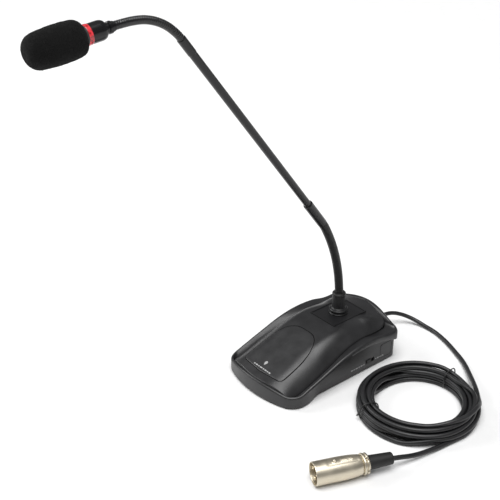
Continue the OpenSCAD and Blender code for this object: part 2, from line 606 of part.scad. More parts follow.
// ---- plug: local z runs from the front of the shell back to the boot --------------------
plug_nose = [119.5, -107.3];
plug_z = 9.8;
module on_plug(z) translate([plug_nose[0], plug_nose[1], plug_z]) rotate([0, 0, -plug_turn])
    rotate([-90, 0, 0]) translate([0, 0, z]) children();
shell_len = 39.5;
taper_from = 18;
tail_r = 7.2;
shell_bore = 8.6;
clamp_r = 5.9;
ring_len = 5;
plug_ring_r = 8.2;
boot_len = 19.5;
boot_r = 5.8;
insert_at = 13.5;
clamp_at = 29;
module plug_barrel() color([0.72, 0.68, 0.58]) on_plug(0) rotate_extrude() polygon(concat(
    [[shell_bore, 0], [plug_r - 0.3, 0], [plug_r, 0.4]],
    [for (i = [0:6]) [tail_r + (plug_r - tail_r) * cos(i * 15), taper_from + (shell_len - taper_from) * sin(i * 15)]],
    [[clamp_r + 0.1, shell_len], [clamp_r + 0.1, clamp_at], [shell_bore, clamp_at - 3]]));
pin_spots = [[4.4, -2], [-4.4, -2], [0, 4.4]];
pin_r = 1.2;
module plug_insert() color([0.08, 0.08, 0.08]) on_plug(insert_at) difference() {
    cylinder(r = shell_bore - 0.03, h = 10);
    for (s = pin_spots) translate([s[0], s[1], -1]) cylinder(r = pin_r + 0.01, h = 20);
}
module plug_pins() color([0.85, 0.65, 0.3]) on_plug(2)
    for (s = pin_spots) translate([s[0], s[1], 0]) {
        cylinder(r = pin_r, h = 24);
        sphere(r = pin_r);
    }
module plug_clamp() color([0.15, 0.15, 0.15]) on_plug(clamp_at) difference() {
    cylinder(r = clamp_r, h = shell_len - clamp_at + 2);
    translate([0, 0, -1]) cylinder(r = lead_d / 2 + 0.1, h = 20);
}
module plug_ring() color([0.72, 0.68, 0.58]) on_plug(shell_len) difference() {
    union() {
        cylinder(r = plug_ring_r, h = ring_len);
        translate([0, -plug_ring_r, ring_len / 2]) rotate([90, 0, 0]) cylinder(r = 2, h = 1.8, center = true);
    }
    translate([0, 0, -1]) cylinder(r = clamp_r + 0.1, h = ring_len + 2);
    translate([0, -plug_ring_r, ring_len / 2]) rotate([90, 0, 0]) cylinder(r = 1.1, h = 6, center = true);
}
module plug_boot() color([0.05, 0.05, 0.05]) on_plug(shell_len) difference() {
    rotate_extrude() polygon([[0, 2.2], [clamp_r, 2.2], [clamp_r, ring_len], [boot_r, ring_len + 0.4],
        [4.9, ring_len + boot_len - 0.8], [4.4, ring_len + boot_len], [0, ring_len + boot_len]]);
    translate([0, 0, -1]) cylinder(r = lead_d / 2 + 0.1, h = 60);
}

lower_case();
top_cover();
bottom_cover();
antislip_pad();
touch_pad();
pad_light_pipe();
touch_sensor_board();
pad_led();
ballast_plate();
main_board();
output_transformer();
capacitors();
amplifier_chip();
wire_headers();
board_screws();
cover_screws();
switch_body();
switch_knob();
cable_grommet();
cable_clamp();
inner_lead();
neck_wires();
neck_plate();
neck_socket();
socket_ring();
lock_nut();
lock_washer();
neck_root();
lower_link_1();
lower_link_2();
lower_link_3();
lower_link_4();
lower_link_5();
lower_ferrule();
shaft_tube();
upper_sleeve();
upper_link_1();
upper_link_2();
upper_link_3();
upper_link_4();
upper_link_5();
upper_ferrule();
head_housing();
light_ring();
light_ring_board();
head_collar();
capsule_tube();
capsule();
windscreen();
cable_lead();
cable_coil();
cable_tail();
cable_ties();
plug_barrel();
plug_insert();
plug_pins();
plug_ring();
plug_clamp();
plug_boot();
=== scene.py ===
"""Looks for the desktop gooseneck microphone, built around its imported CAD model."""
import json
import math

import bmesh
import bpy
import numpy as np
from mathutils import Matrix, Vector, noise as mu_noise

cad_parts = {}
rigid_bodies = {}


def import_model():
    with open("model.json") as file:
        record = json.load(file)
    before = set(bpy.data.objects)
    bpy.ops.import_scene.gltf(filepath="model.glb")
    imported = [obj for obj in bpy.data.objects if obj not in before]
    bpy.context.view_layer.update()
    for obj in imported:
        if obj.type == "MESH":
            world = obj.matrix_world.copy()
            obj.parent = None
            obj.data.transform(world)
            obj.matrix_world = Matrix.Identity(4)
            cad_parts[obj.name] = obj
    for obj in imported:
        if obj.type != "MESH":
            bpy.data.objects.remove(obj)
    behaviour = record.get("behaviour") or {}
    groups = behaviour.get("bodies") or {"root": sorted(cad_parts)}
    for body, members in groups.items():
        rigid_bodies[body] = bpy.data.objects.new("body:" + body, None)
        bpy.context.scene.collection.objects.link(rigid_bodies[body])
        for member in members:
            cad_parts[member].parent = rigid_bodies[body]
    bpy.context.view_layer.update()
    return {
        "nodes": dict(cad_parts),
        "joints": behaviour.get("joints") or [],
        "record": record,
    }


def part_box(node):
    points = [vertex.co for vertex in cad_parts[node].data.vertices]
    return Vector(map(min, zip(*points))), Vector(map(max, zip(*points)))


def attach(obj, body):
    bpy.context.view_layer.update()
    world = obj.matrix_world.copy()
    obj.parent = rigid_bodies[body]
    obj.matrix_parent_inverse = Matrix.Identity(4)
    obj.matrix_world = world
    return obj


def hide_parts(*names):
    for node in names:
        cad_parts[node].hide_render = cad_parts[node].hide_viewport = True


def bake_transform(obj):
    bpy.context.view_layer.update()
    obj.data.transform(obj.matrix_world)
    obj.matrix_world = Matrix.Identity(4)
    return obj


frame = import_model()
MM = 0.001


def box_mm(node):
    """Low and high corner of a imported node's box in millimetres."""
    return np.array(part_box(node)) / MM


def around(count):
    """Angles evenly spaced round a circle."""
    return np.linspace(0, 2 * math.pi, count, endpoint=False)


# ---- camera, floor and light ---------------------------------------------------
def add_camera():
    """A camera at the object's usual viewing angle, looking down from the front right."""
    azimuth, elevation = math.radians(50.48), math.radians(28.07)
    place = (0.5102, -0.4920, 0.4951)
    right = Vector((math.cos(azimuth), math.sin(azimuth), 0))
    back = Vector((math.sin(azimuth) * math.cos(elevation), -math.cos(azimuth) * math.cos(elevation),
                   math.sin(elevation)))
    data = bpy.data.cameras.new("camera")
    data.lens = 66.95
    data.sensor_width = 36
    data.clip_end = 300
    camera = bpy.data.objects.new("camera", data)
    turn = Matrix((right, back.cross(right), back)).transposed()
    camera.matrix_world = Matrix.Translation(place) @ turn.to_4x4()
    bpy.context.scene.collection.objects.link(camera)
    bpy.context.scene.camera = camera


def add_light(name, place, target, size, power):
    """A soft rectangular light that points at target."""
    data = bpy.data.lights.new(name, "AREA")
    data.shape = "RECTANGLE"
    data.size, data.size_y = size
    data.energy = power
    light = bpy.data.objects.new(name, data)
    light.location = place
    light.rotation_euler = (Vector(target) - Vector(place)).to_track_quat("-Z", "Y").to_euler()
    bpy.context.scene.collection.objects.link(light)


def add_sky_light(direction, spread, strength):
    """A very broad light from one direction, like a large soft box far away."""
    data = bpy.data.lights.new("sky light", "SUN")
    data.angle = math.radians(spread)
    data.energy = strength
    light = bpy.data.objects.new("sky light", data)
    light.rotation_euler = (-Vector(direction)).to_track_quat("-Z", "Y").to_euler()
    bpy.context.scene.collection.objects.link(light)


def add_studio():
    """A pale floor, a white surround and soft light from above and from the left."""
    reach = 60
    floor_mesh = bpy.data.meshes.new("floor")
    floor_mesh.from_pydata([(-reach, -reach, 0), (reach, -reach, 0), (reach, reach, 0), (-reach, reach, 0)],
                           [], [(0, 1, 2, 3)])
    floor = bpy.data.objects.new("floor", floor_mesh)
    bpy.context.scene.collection.objects.link(floor)
    floor_mesh.materials.append(soft_material("floor", (0.86, 0.86, 0.86), 0.9, grain=0.02, depth=0))
    world = bpy.data.worlds.new("studio")
    world.use_nodes = True
    surround = world.node_tree.nodes["Background"]
    surround.inputs["Color"].default_value = (1, 1, 1, 1)
    surround.inputs["Strength"].default_value = 0.2
    bpy.context.scene.world = world
    add_sky_light((0.14, -0.16, 0.97), 48, 3.0)
    add_light("left", (-1.1, -0.7, 0.85), (0, 0, 0.1), (0.6, 0.8), 9)
    bpy.context.scene.view_settings.view_transform = "Standard"


# ---- materials -------------------------------------------------------------------
ROUGH_SPREAD = 0.05


def new_material(name):
    """A node material with its tree and its shader."""
    material = bpy.data.materials.new(name)
    material.use_nodes = True
    return material, material.node_tree, material.node_tree.nodes["Principled BSDF"]


def noise(tree, scale, detail=3, rough=0.5, stretch=(1, 1, 1)):
    """Noise in the object's own coordinates; scale is in features per metre."""
    place = tree.nodes.new("ShaderNodeTexCoord")
    mapping = tree.nodes.new("ShaderNodeMapping")
    mapping.inputs["Scale"].default_value = stretch
    texture = tree.nodes.new("ShaderNodeTexNoise")
    texture.inputs["Scale"].default_value = scale
    texture.inputs["Detail"].default_value = detail
    texture.inputs["Roughness"].default_value = rough
    tree.links.new(place.outputs["Object"], mapping.inputs["Vector"])
    tree.links.new(mapping.outputs["Vector"], texture.inputs["Vector"])
    return texture


def ramp(tree, source, low, high, start=0.3, end=0.7):
    """A colour ramp from low to high along a texture's factor."""
    node = tree.nodes.new("ShaderNodeValToRGB")
    node.color_ramp.elements[0].position = start
    node.color_ramp.elements[1].position = end
    node.color_ramp.elements[0].color = (*low, 1)
    node.color_ramp.elements[1].color = (*high, 1)
    tree.links.new(source.outputs[0], node.inputs["Fac"])
    return node


def spread_value(tree, source, middle, spread):
    """Maps a texture's factor to middle plus or minus spread."""
    node = tree.nodes.new("ShaderNodeMapRange")
    node.inputs["To Min"].default_value = middle - spread
    node.inputs["To Max"].default_value = middle + spread
    node.inputs["From Min"].default_value = 0.3
    node.inputs["From Max"].default_value = 0.7
    tree.links.new(source.outputs[0], node.inputs["Value"])
    return node


def add_bump(tree, shader, height, depth, strength=1.0):
    """Bump of the given depth in metres, on top of any bump that the shader already has."""
    bump = tree.nodes.new("ShaderNodeBump")
    bump.inputs["Strength"].default_value = strength
    bump.inputs["Distance"].default_value = depth
    old = shader.inputs["Normal"].links
    if old:
        tree.links.new(old[0].from_socket, bump.inputs["Normal"])
    tree.links.new(height.outputs[0], bump.inputs["Height"])
    tree.links.new(bump.outputs["Normal"], shader.inputs["Normal"])


def soft_material(name, colour, rough, metal=0.0, grain=0.15, grain_scale=2500, depth=0.00003, shade_scale=40,
                  stretch=(1, 1, 1), specular=0.5):
    """Moulded or painted surface: fine grain in the bump, slow drift in colour and roughness.
    specular is how strongly it reflects at a steep view."""
    material, tree, shader = new_material(name)
    dark = tuple(c * (1 - grain) for c in colour)
    light = tuple(min(1, c * (1 + grain)) for c in colour)
    slow = noise(tree, shade_scale, 4, 0.55, stretch)
    fine = noise(tree, grain_scale, 2, 0.6, stretch)
    tree.links.new(ramp(tree, slow, dark, light).outputs["Color"], shader.inputs["Base Color"])
    tree.links.new(spread_value(tree, slow, rough, ROUGH_SPREAD).outputs["Result"], shader.inputs["Roughness"])
    shader.inputs["Metallic"].default_value = metal
    shader.inputs["Specular IOR Level"].default_value = specular
    if depth:
        add_bump(tree, shader, fine, depth)
    return material


def paint(node, material):
    """Gives a carried-over CAD node a material."""
    mesh_object = frame["nodes"][node]
    if not mesh_object.material_slots:
        mesh_object.data.materials.append(material)
    for slot in mesh_object.material_slots:
        slot.link = "OBJECT"
        slot.material = material


# ---- meshes ----------------------------------------------------------------------
def add_piece(name, points, faces, material, body, replaced=(), smooth=True):
    """A mesh piece from points in millimetres that rides on a CAD body."""
    mesh = bpy.data.meshes.new(name)
    mesh.from_pydata([tuple(float(c) * MM for c in p) for p in points], [], faces)
    mesh.validate()
    mesh.update()
    mesh.shade_smooth() if smooth else mesh.shade_flat()
    piece = bpy.data.objects.new(name, mesh)
    bpy.context.scene.collection.objects.link(piece)
    mesh.materials.append(material)
    if body:
        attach(piece, body)
    if replaced:
        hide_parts(*replaced)
    return piece


def loft_faces(rings, count, closed=True, flip=False):
    """Quads between rings of count points each."""
    faces = []
    for j in range(rings - 1):
        for i in range(count if closed else count - 1):
            a, b = j * count + i, j * count + (i + 1) % count
            face = (a, b, b + count, a + count)
            faces.append(face[::-1] if flip else face)
    return faces


def loft(rings, close_first=False, close_last=False, flip=False):
    """Points and faces of a skin through closed rings of equal length."""
    count = len(rings[0])
    points = [p for ring in rings for p in ring]
    faces = loft_faces(len(rings), count, True, flip)
    if close_first:
        face = tuple(range(count))
        faces.append(face if flip else face[::-1])
    if close_last:
        face = tuple((len(rings) - 1) * count + i for i in range(count))
        faces.append(face[::-1] if flip else face)
    return points, faces


def frame_along(line):
    """Two unit vectors square to each point's direction on a line, without twist."""
    line = np.asarray(line, float)
    tangent = np.gradient(line, axis=0)
    tangent /= np.linalg.norm(tangent, axis=1)[:, None]
    side = np.cross(tangent[0], (0.3, 0.9, 0.2))
    sides, ups = [], []
    for t in tangent:
        side = side - t * np.dot(side, t)
        side /= np.linalg.norm(side)
        sides.append(side)
        ups.append(np.cross(t, side))
    return np.array(sides), np.array(ups)


# ---- the lead --------------------------------------------------------------------
LEAD_D = 4.0
COIL_CENTRE = (108.2, 25.6)
LEAD_ROUTE = [(0, 88, 14), (0, 95, 14), (0.5, 101, 13.7), (2, 108, 12.6), (5.5, 115, 10.4),
              (11.5, 121.5, 7.2), (19, 125.5, 4.4), (28, 127.2, 2.5), (40, 127, 2.1), (53, 124, 2.1),
              (65, 119.8, 2.1), (76, 115, 2.2), (87, 109.8, 2.6), (97.5, 103, 3.6), (107, 95.5, 5),
              (116.5, 87.6, 6.8), (125.6, 79.8, 8.4), (133, 73, 9.5), (139, 67, 9.9)]
TAIL_ROUTE = [(156.8, 16.5, 2.1), (155.6, 7, 2.2), (154.5, -2, 2.5), (153.2, -11, 3.2), (151.6, -22, 4.4),
              (149.8, -31, 6), (147.6, -40, 8.2)]
# Each turn of the coil: radius and height of the lead's middle, how far it strays from its circle and where.
COIL_TURNS = [(40.0, 13.5, 1.2, 225), (46.3, 13.6, 0.6, 120), (49.2, 9.9, -2.4, 55), (43.6, 9.9, -0.4, 60),
              (38.2, 9.9, 0.3, 65), (39.6, 6.0, 0, 0), (38.1, 2.1, 0.6, 95), (43.8, 2.1, 0.3, 95),
              (44.8, 6.0, 0.6, 250), (49.6, 6.0, 0.6, 40), (49.3, 2.1, 1.6, 300)]
STEPS_PER_TURN = 28
ANGLE_IN = 53
ANGLE_OUT = -10.6
# The lead comes in from outside and crosses the bundle to its first place. The crossing takes so many
# degrees and rises so much.
CROSSING, CROSSING_RISE = 95, 7.5


def lobe(angle, where):
    """1 at where, which is in degrees, and 0 from a quarter turn away on."""
    return max(0, math.cos(angle - math.radians(where))) ** 2


def swell(angle):
    """How far the whole coil lies outside its circle at an angle in radians."""
    return 2.6 * lobe(angle, 102) + 1.2 * lobe(angle, 250)


def coil_points():
    """The coil's turns, clockwise from where the lead comes in. Each steps over to the next one's place
    in the arc that the next one leaves free."""
    sweep = 360 * (len(COIL_TURNS) - 1) + ANGLE_IN - ANGLE_OUT
    per_place = sweep / 360 / len(COIL_TURNS)
    steps = round(sweep / 360 * STEPS_PER_TURN)
    end = np.array(LEAD_ROUTE[-1])
    outside = np.array((math.hypot(end[0] - COIL_CENTRE[0], end[1] - COIL_CENTRE[1]), end[2]))
    outside[0] -= swell(math.radians(ANGLE_IN))
    points = []
    for i in range(1, steps):
        turns = sweep / 360 * i / steps
        angle = math.radians(ANGLE_IN - 360 * turns)
        place = min(int(turns / per_place), len(COIL_TURNS) - 1)
        step = float(smoothstep((turns - place * per_place) / (1 - per_place)))
        over = min(1.0, turns * 360 / CROSSING)
        if place == 0:
            step = over ** 1.6

        def at(turn):
            if turn < 0:
                return outside
            radius, height, stray, where = COIL_TURNS[turn]
            return np.array((radius + stray * lobe(angle, where), height))
        radius, height = at(place) * step + at(place - 1) * (1 - step)
        radius += swell(angle)
        if place == 0:
            drop = CROSSING_RISE + outside[1] - COIL_TURNS[0][1]
            height = outside[1] + CROSSING_RISE * smoothstep(over / 0.35)
            height -= drop * smoothstep((over - 0.65) / 0.35)
        points.append((COIL_CENTRE[0] + radius * math.cos(angle), COIL_CENTRE[1] + radius * math.sin(angle),
                       height))
    return points


def curve_piece(name, points, radius, material, body="base", closed=False):
    """A round cord along points in millimetres, as one smooth spline."""
    data = bpy.data.curves.new(name, "CURVE")
    data.dimensions = "3D"
    data.bevel_depth = radius * MM
    data.bevel_resolution = 5
    data.use_fill_caps = not closed
    data.resolution_u = 4
    spline = data.splines.new("BEZIER")
    spline.bezier_points.add(len(points) - 1)
    spline.use_cyclic_u = closed
    for knot, point in zip(spline.bezier_points, points):
        knot.co = Vector(point) * MM
        knot.handle_left_type = knot.handle_right_type = "AUTO"
    data.materials.append(material)
    piece = bpy.data.objects.new(name, data)
    bpy.context.scene.collection.objects.link(piece)
    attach(piece, body)
    return piece


TIE_ANGLES = (96, 248)
TIE_HALF_W, TIE_HALF_H = 8.7, 7.8
TIE_CORNERS = 0.65  # below 1, a tie's loop is squarer than an ellipse


def add_ties(material):
    """Two thin ties round the coil, each with its two ends twisted together at the outer side."""
    low, high = box_mm("cable_coil")
    up = np.array((0, 0, 1))
    ties = []
    for number, turn in enumerate(TIE_ANGLES):
        angle = math.radians(turn)
        middle_r = (high[0] - low[0]) / 2 - 7.6 + swell(angle)
        out = np.array((math.cos(angle), math.sin(angle), 0))
        side = np.array((-math.sin(angle), math.cos(angle), 0))
        centre = np.array((*COIL_CENTRE, TIE_HALF_H + 0.6))
        loop = []
        for t in around(28):
            across = math.copysign(abs(math.cos(t)) ** TIE_CORNERS, math.cos(t)) * TIE_HALF_W
            rise = math.copysign(abs(math.sin(t)) ** TIE_CORNERS, math.sin(t)) * TIE_HALF_H
            across *= 1 - 0.1 * max(0, rise / TIE_HALF_H)
            loop.append(centre + out * (middle_r + across) + (0, 0, rise))
        ties.append(curve_piece(f"lead_tie_{number + 1}", loop, 0.55, material, closed=True))
        start = centre + out * (middle_r + TIE_HALF_W - 0.2) + (0, 0, -1.0)
        for strand in (0, 1):
            twist = []
            for k in range(10):
                swing = k * 0.9 + math.pi * strand
                twist.append(start + out * (0.5 + 0.14 * k) - side * 0.2 * k + (0, 0, -0.33 * k)
                             + 0.5 * (math.cos(swing) * side + math.sin(swing) * up))
            name = f"lead_tie_{number + 1}_end_{strand + 1}"
            ties.append(curve_piece(name, twist, 0.42, material))
    return ties


def add_lead(finishes):
    """The free lead: out of the base, over the desk, round the coil and into the plug."""
    route = LEAD_ROUTE + coil_points() + TAIL_ROUTE + [tuple(plug_place(0, 0, LEAD_END))]
    jacket = soft_material("lead_jacket", (0.012, 0.012, 0.013), 0.42, grain=0.25, grain_scale=1800,
                           depth=0.00002)
    lead = curve_piece("lead", route, LEAD_D / 2, jacket)
    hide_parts("cable_lead", "cable_coil", "cable_tail")
    ties = add_ties(finishes["tie_plastic"])
    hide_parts("cable_ties")
    plug = [frame["nodes"][n] for n in ("plug_insert", "plug_pins", "plug_clamp")]
    plug += [*add_plug(finishes["nickel"]), add_boot(finishes["soft_rubber"])]
    tuple(c * MM for c in LEAD_ROUTE[0])


# ---- the plug: z runs from the front of the shell back to the lead ------------------
plug_mount = next(m for m in frame["record"]["mounts"] if m["name"] == "plug_shell")
PLUG_BACK = -np.array(plug_mount["axis"])
PLUG_FRONT = np.array(plug_mount["pos_m"]) / MM - 0.5 * PLUG_BACK
PLUG_SIDE = np.array((PLUG_BACK[1], -PLUG_BACK[0], 0))
COLLAR_AT = 39.5  # where the shell ends, and the collar and the boot begin
LEAD_END = 57


def plug_place(x, y, z):
    """A point of the plug: x to its side, y up, z back from the front of the shell."""
    return PLUG_FRONT + PLUG_SIDE * x + np.array((0, 0, 1)) * y + PLUG_BACK * z


# ---- the base's shape ----------------------------------------------------------------
# Widths, depths and heights in millimetres; the first six, and the wall sizes built on them, are worked out from
# the imported nodes' boxes, the rest are given.
case_low, case_high = box_mm("lower_case")
FRONT, BACK, HALF_W = case_low[1], case_high[1], case_high[0]
SEAM_FRONT_W = box_mm("top_cover")[1][0]
FLAT_Z = box_mm("neck_plate")[1][2] - 0.6
CASE_Z = case_low[2]
BOW_R = 101.0
CORNER_R = 16.0
BACK_BOW = 4.0
WALL_W = HALF_W - 4.6
BACK_WALL = BACK - 2.0
PAD_SLOPE = 0.37
PAD_LEVEL_Y, PAD_BEND_Y = 22.0, -17.1
RIM_TOP, RIM_Y, RIM_BEND, RIM_LINE_Y, RIM_LOW = 33.3, 29.0, 0.00454, -8.0, 12.3
VALLEY = 3.2
CROWN_FROM, CROWN_LEN, CROWN_EDGE, CROWN_DROP = 42.0, 26.0, 30.0, 1.4


def smoothstep(t):
    """0 to 1 with level ends, for t from 0 to 1."""
    t = np.clip(t, 0, 1)
    return t * t * (3 - 2 * t)


def soft_min(a, b, size):
    """The lower of two heights, rounded over about size millimetres where they cross."""
    h = np.clip(0.5 + 0.5 * (b - a) / size, 0, 1)
    return b + (a - b) * h - size * h * (1 - h)


def plateau(y):
    """Height along the middle of the cover: the pad's slope, a bend, then level."""
    bend = FLAT_Z - PAD_SLOPE * (PAD_LEVEL_Y - y) ** 2 / (2 * (PAD_LEVEL_Y - PAD_BEND_Y))
    start = FLAT_Z - PAD_SLOPE * (PAD_LEVEL_Y - PAD_BEND_Y) / 2
    slope = start + PAD_SLOPE * (y - PAD_BEND_Y)
    return np.where(y < PAD_BEND_Y, slope, np.where(y > PAD_LEVEL_Y, FLAT_Z, bend))


def rim(y):
    """Height of the side rim: an arch at the back, then a straight fall to the nose."""
    curve = RIM_TOP - RIM_BEND * (RIM_Y - y) ** 2
    run = RIM_Y - RIM_LINE_Y
    line = RIM_TOP - RIM_BEND * run ** 2 + 2 * RIM_BEND * run * (y - RIM_LINE_Y)
    return -soft_min(-np.where(y > RIM_LINE_Y, curve, line), np.full_like(y, -RIM_LOW), 2.0)


def narrowing(y, wide, back_wide):
    """Half-width that is even at the front and runs to back_wide at the back."""
    return wide + (back_wide - wide) * np.maximum(0, y + 30) / 98


def rim_w(y):
    """Half-width of the rim."""
    return narrowing(y, HALF_W, HALF_W - 1.6)


def seam_w(y):
    """Half-width of the seam between the mouldings."""
    return narrowing(y, SEAM_FRONT_W, SEAM_FRONT_W - 6.2)


def shoulder_w(y):
    """Half-width of the plateau, where the flanks begin, with a waist beside the neck."""
    return 28 - 0.055 * (y + 63) - 2.6 * np.exp(-((y - 36) / 9) ** 2) + 0.25 * np.maximum(0, y - 40)


def wall_w(y):
    """Half-width of the walls, which step in behind the nose."""
    step_in = 0.5 * (1 + np.cos(np.pi * np.clip((y + 46) / 21, 0, 1)))
    return WALL_W + (HALF_W - WALL_W) * step_in


def crown(x):
    """Height across the rounded back."""
    rise = np.maximum(0, 1 - np.minimum(1, abs(x) / HALF_W) ** 2) ** 1.3
    return CROWN_EDGE + (FLAT_Z - CROWN_DROP - CROWN_EDGE) * rise


def crowned(y):
    """How far the crown has taken over from the plateau, from 0 to 1."""
    return smoothstep((y - CROWN_FROM) / CROWN_LEN)


def cover_h(x, y):
    """Height of the top cover."""
    a, edge, shoulder = abs(x), seam_w(y), shoulder_w(y)
    low = rim(y) - VALLEY * (1 - 0.75 * smoothstep((y + 15) / 45))
    slope = (low - plateau(y)) / (edge - shoulder)
    flank = plateau(y) + slope * (a - shoulder)
    rounding = 4.0 + 7 * smoothstep((15 - y) / 45)
    side = soft_min(plateau(y), flank, rounding)
    return side * (1 - crowned(y)) + crown(x) * crowned(y)


# The switch's slot in the right wall: its ends, and its low and high edge.
slot_low, slot_high = box_mm("switch_body")
SLOT_Y = ((slot_low[1] + slot_high[1]) / 2 - 5.2, (slot_low[1] + slot_high[1]) / 2 + 5.2)
SLOT_Z = ((slot_low[2] + slot_high[2]) / 2 - 2.1, (slot_low[2] + slot_high[2]) / 2 + 2.1)
# How many points an outline has along its front, front corner, side, back corner and back.
FRONT_COUNT, CORNER_COUNT, SIDE_COUNT, TURN_COUNT, BACK_COUNT = 16, 12, 56, 10, 12


def half_outline(side_w, inset, arc_r, back, back_r, stops=()):
    """Right half of a plan outline from the front's middle to the back's middle: bowed front, corner,
    side, corner, back. inset is how far its front lies inside the nose, and the side has a point at
    each of the stops."""
    bow = BOW_R - inset
    centre_y = FRONT + BOW_R
    corner_w = float(side_w(np.array(FRONT + 1.3 * arc_r)))
    corner_x = corner_w - arc_r
    tilt = math.asin(corner_x / (bow - arc_r))
    corner_y = centre_y - (bow - arc_r) * math.cos(tilt)
    front = [(bow * math.sin(t), centre_y - bow * math.cos(t))
             for t in np.linspace(0, tilt, FRONT_COUNT)[:-1]]
    corner = [(corner_x + arc_r * math.sin(t), corner_y - arc_r * math.cos(t))
              for t in np.linspace(tilt, math.pi / 2, CORNER_COUNT)[:-1]]
    back_y = back - back_r
    ys = np.linspace(corner_y, back_y, SIDE_COUNT)[:-1]
    for stop in stops:
        ys[np.abs(ys - stop).argmin()] = stop
    side = [(float(side_w(np.array(y))), y) for y in ys]
    back_x = float(side_w(np.array(back_y))) - back_r
    turn = [(back_x + back_r * math.cos(t), back_y + back_r * math.sin(t))
            for t in np.linspace(0, math.pi / 2, TURN_COUNT)[:-1]]
    end = [(x, back + BACK_BOW * (1 - (x / back_x) ** 2) ** 2) for x in np.linspace(back_x, 0, BACK_COUNT)]
    return np.array(front + corner + side + turn + end)


def whole_outline(half):
    """The half outline with its mirror image."""
    left = half[1:-1][::-1] * (-1, 1)
    return np.vstack((half, left))


def with_height(outline, z):
    """A plan outline as points at height z, one height or one for each point."""
    return np.column_stack((outline, np.broadcast_to(z, len(outline))))


# ---- the base's mouldings ------------------------------------------------------------
SEAM_IN = 2.2
SEAM_GAP = 0.16
LIP_T = 2.2


def seam_ring(gap):
    """Plan outline of the seam; gap is how far it lies inside the seam's middle."""
    return whole_outline(half_outline(lambda y: seam_w(y) - gap, SEAM_IN + gap, 7.5 - gap, BACK - 6 - gap,
                                      8 - gap))


def rim_ring(inset):
    """Plan outline inset from the rim's outer edge."""
    return whole_outline(half_outline(lambda y: rim_w(y) - inset, inset, CORNER_R - inset, BACK - inset,
                                      6 - inset))


def wall_ring(inset=0.0):
    """Plan outline inset from the recessed walls."""
    return whole_outline(half_outline(lambda y: wall_w(y) - inset, inset, CORNER_R - inset, BACK_WALL - inset,
                                      4 - inset, SLOT_Y))


def rim_height(outline):
    """Height of the rim's crest: along the sides, over the nose and over the crowned back."""
    x, y = outline[:, 0], outline[:, 1]
    side = rim(y)
    nose = np.clip((-y - 44) / 22, 0, 1)
    front = RIM_LOW + 4.2 * np.maximum(0, 1 - (x / 38) ** 2)
    z = side * (1 - smoothstep(nose)) + front * smoothstep(nose)
    return z * (1 - crowned(y)) + crown(x) * crowned(y)


def lip_height(outline):
    """Height of the rim's lower edge."""
    y = outline[:, 1]
    return rim(y) - LIP_T - 0.06 * np.maximum(0, y + 30)


def round_over(inner, outer, top, drop, steps=4):
    """Rings of a quarter round from the inner ring's height over to the outer ring, drop lower."""
    rings = []
    for t in np.linspace(0, math.pi / 2, steps + 1):
        plan = inner + (outer - inner) * math.sin(t)
        rings.append(with_height(plan, top - drop * (1 - math.cos(t))))
    return rings


def add_case(material):
    """The lower case: seam, rim, lip and recessed walls, with the switch's slot cut into the right wall."""
    seam_at = seam_ring(-SEAM_GAP)
    crest_out = rim_ring(0.0)
    behind = crowned(crest_out[:, 1])
    crest_in = rim_ring(2.0) * (1 - behind[:, None]) + rim_ring(3.6) * behind[:, None]
    crest_z = rim_height(crest_out)
    valley_z = np.minimum(cover_h(seam_at[:, 0], seam_at[:, 1]), crest_z - 0.4 * (1 - behind))
    rings = [with_height(seam_at, valley_z - 3.0), with_height(seam_at, valley_z - 0.3),
             with_height(seam_at + (crest_in - seam_at) * 0.05, valley_z)]
    for share in (0.2, 0.4, 0.6, 0.8, 1.0):
        plan = seam_at + (crest_in - seam_at) * share
        swell_z = 0.25 * math.sin(math.pi * share)
        rings.append(with_height(plan, valley_z + (crest_z - valley_z) * share + swell_z))
    lip_z = np.minimum(lip_height(crest_out), crest_z - 2.4)
    rings += round_over(crest_in, crest_out, crest_z, 1.7 + 2.6 * behind, 7)[1:]
    under = wall_ring()
    hidden = np.clip(np.linalg.norm(crest_out - under, axis=1) / 4.0, 0, 1)
    base_z = CASE_Z + 0.9
    lip_z = lip_z * hidden + (crest_z - 2.2 - 2.6 * behind) * (1 - hidden)
    for share, drop in ((0, 0.5), (0.12, 0.1), (0.3, 0), (0.9, -0.05)):
        rings.append(with_height(crest_out + (under - crest_out) * share, lip_z + drop))
    top = lip_z - 0.3 * hidden
    high = np.minimum(SLOT_Z[1], top - 0.35 * (top - base_z))
    low = np.minimum(SLOT_Z[0], top - 0.7 * (top - base_z))
    wall_rings = [top, (top * 2 + high) / 3, (top + 2 * high) / 3, high, (high + low) / 2, low,
                  (low + base_z) / 2, np.full(len(under), base_z)]
    slot_ring = len(rings) + 3
    rings += [with_height(under, z) for z in wall_rings]
    rings += round_over(under, wall_ring(0.8), np.full(len(under), base_z), 0.9, 3)[1:]
    rings.append(with_height(wall_ring(2.4), CASE_Z))
    points, faces = loft(rings)
    count = len(under)
    start, end = (int(np.argmin(np.abs(under[:, 0] - WALL_W) + np.abs(under[:, 1] - y))) for y in SLOT_Y)
    cut = {j * count + i for j in (slot_ring, slot_ring + 1) for i in range(start, end)}
    faces = [f for f in faces if min(f) not in cut or max(f) - min(f) > count + 1]
    corners = [points[(slot_ring + j) * count + i] for j, i in ((0, start), (0, end), (2, end), (2, start))]
    first = len(points)
    points += corners + [np.array(c) - (1.6, 0, 0) for c in corners]
    faces += [(first + i, first + (i + 1) % 4, first + 4 + (i + 1) % 4, first + 4 + i) for i in range(4)]
    faces.append((first + 4, first + 5, first + 6, first + 7))
    case = add_piece("lower_case_shell", points, faces, material, "base", ["lower_case"])
    merge_close(case)
    mark_sharp(case, 50)
    return case


SPINE = 42.0


